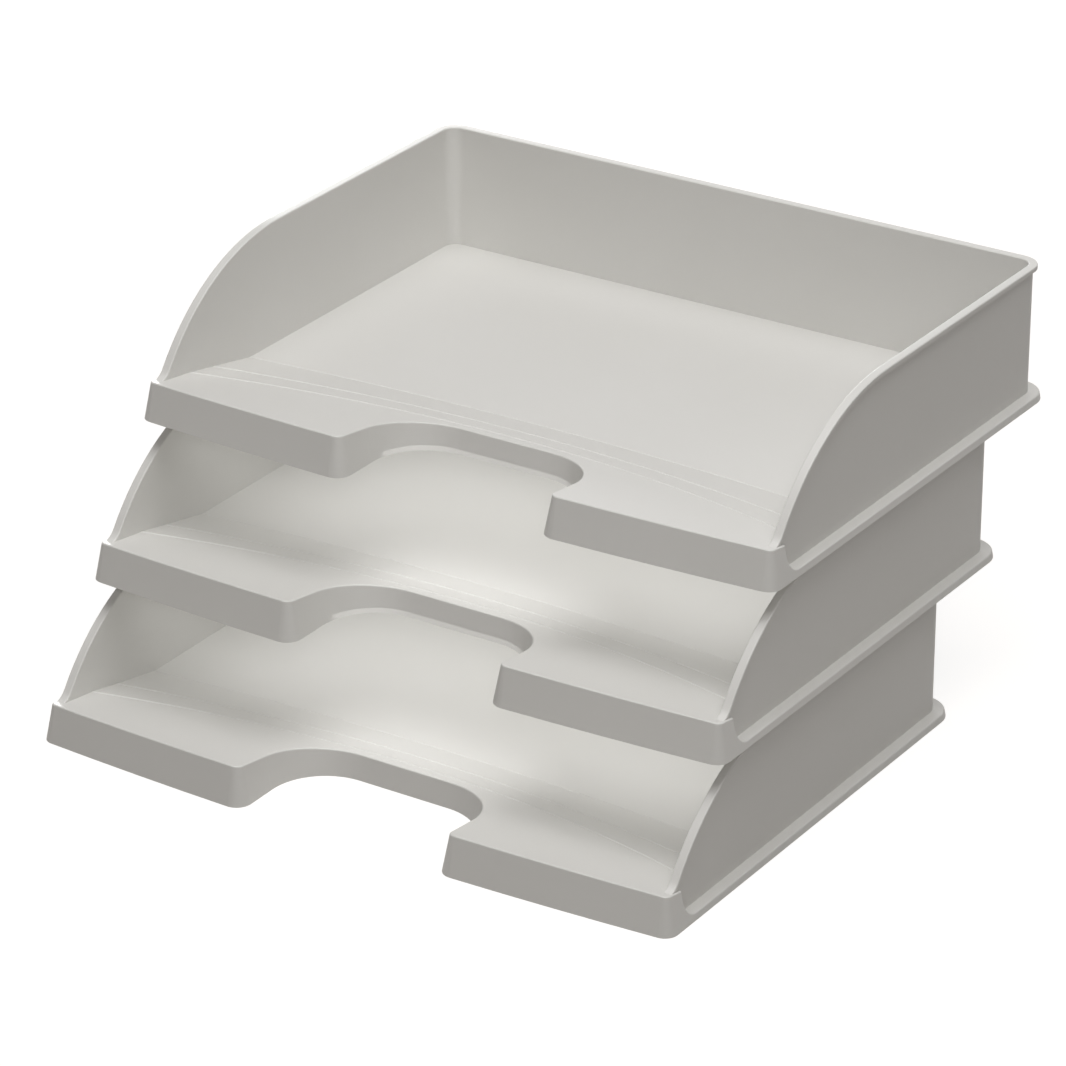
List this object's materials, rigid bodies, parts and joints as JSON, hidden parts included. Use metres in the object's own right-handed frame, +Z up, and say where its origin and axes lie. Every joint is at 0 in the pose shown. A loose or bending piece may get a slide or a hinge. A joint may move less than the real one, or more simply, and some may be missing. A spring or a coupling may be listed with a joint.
{
  "type": "stack of letter trays",
  "caption": "Stack of landscape letter trays, each set back from the one below, with swept side walls, a ramped floor and a wide finger notch in the front lip; each tray lifts off.",
  "frame": {"origin": "middle of the stack's bounding box, on the surface that it stands on", "axes": "+X to the right seen from the front, +Y to the rear, +Z up"},
  "size_m": [0.363, 0.367, 0.212],
  "materials": {
    "grey_polystyrene": "satin"
  },
  "bodies": {
    "bottom_tray": {"bottom_tray": "grey_polystyrene"},
    "middle_tray": {"middle_tray": "grey_polystyrene"},
    "top_tray": {"top_tray": "grey_polystyrene"}
  },
  "joints": [
    {"name": "middle_tray_lift", "type": "slide", "parent": "bottom_tray", "child": "middle_tray", "axis": [0, 0, 1], "range_m": [0, 0.12]},
    {"name": "top_tray_lift", "type": "slide", "parent": "middle_tray", "child": "top_tray", "axis": [0, 0, 1], "range_m": [0, 0.12]}
  ]
}
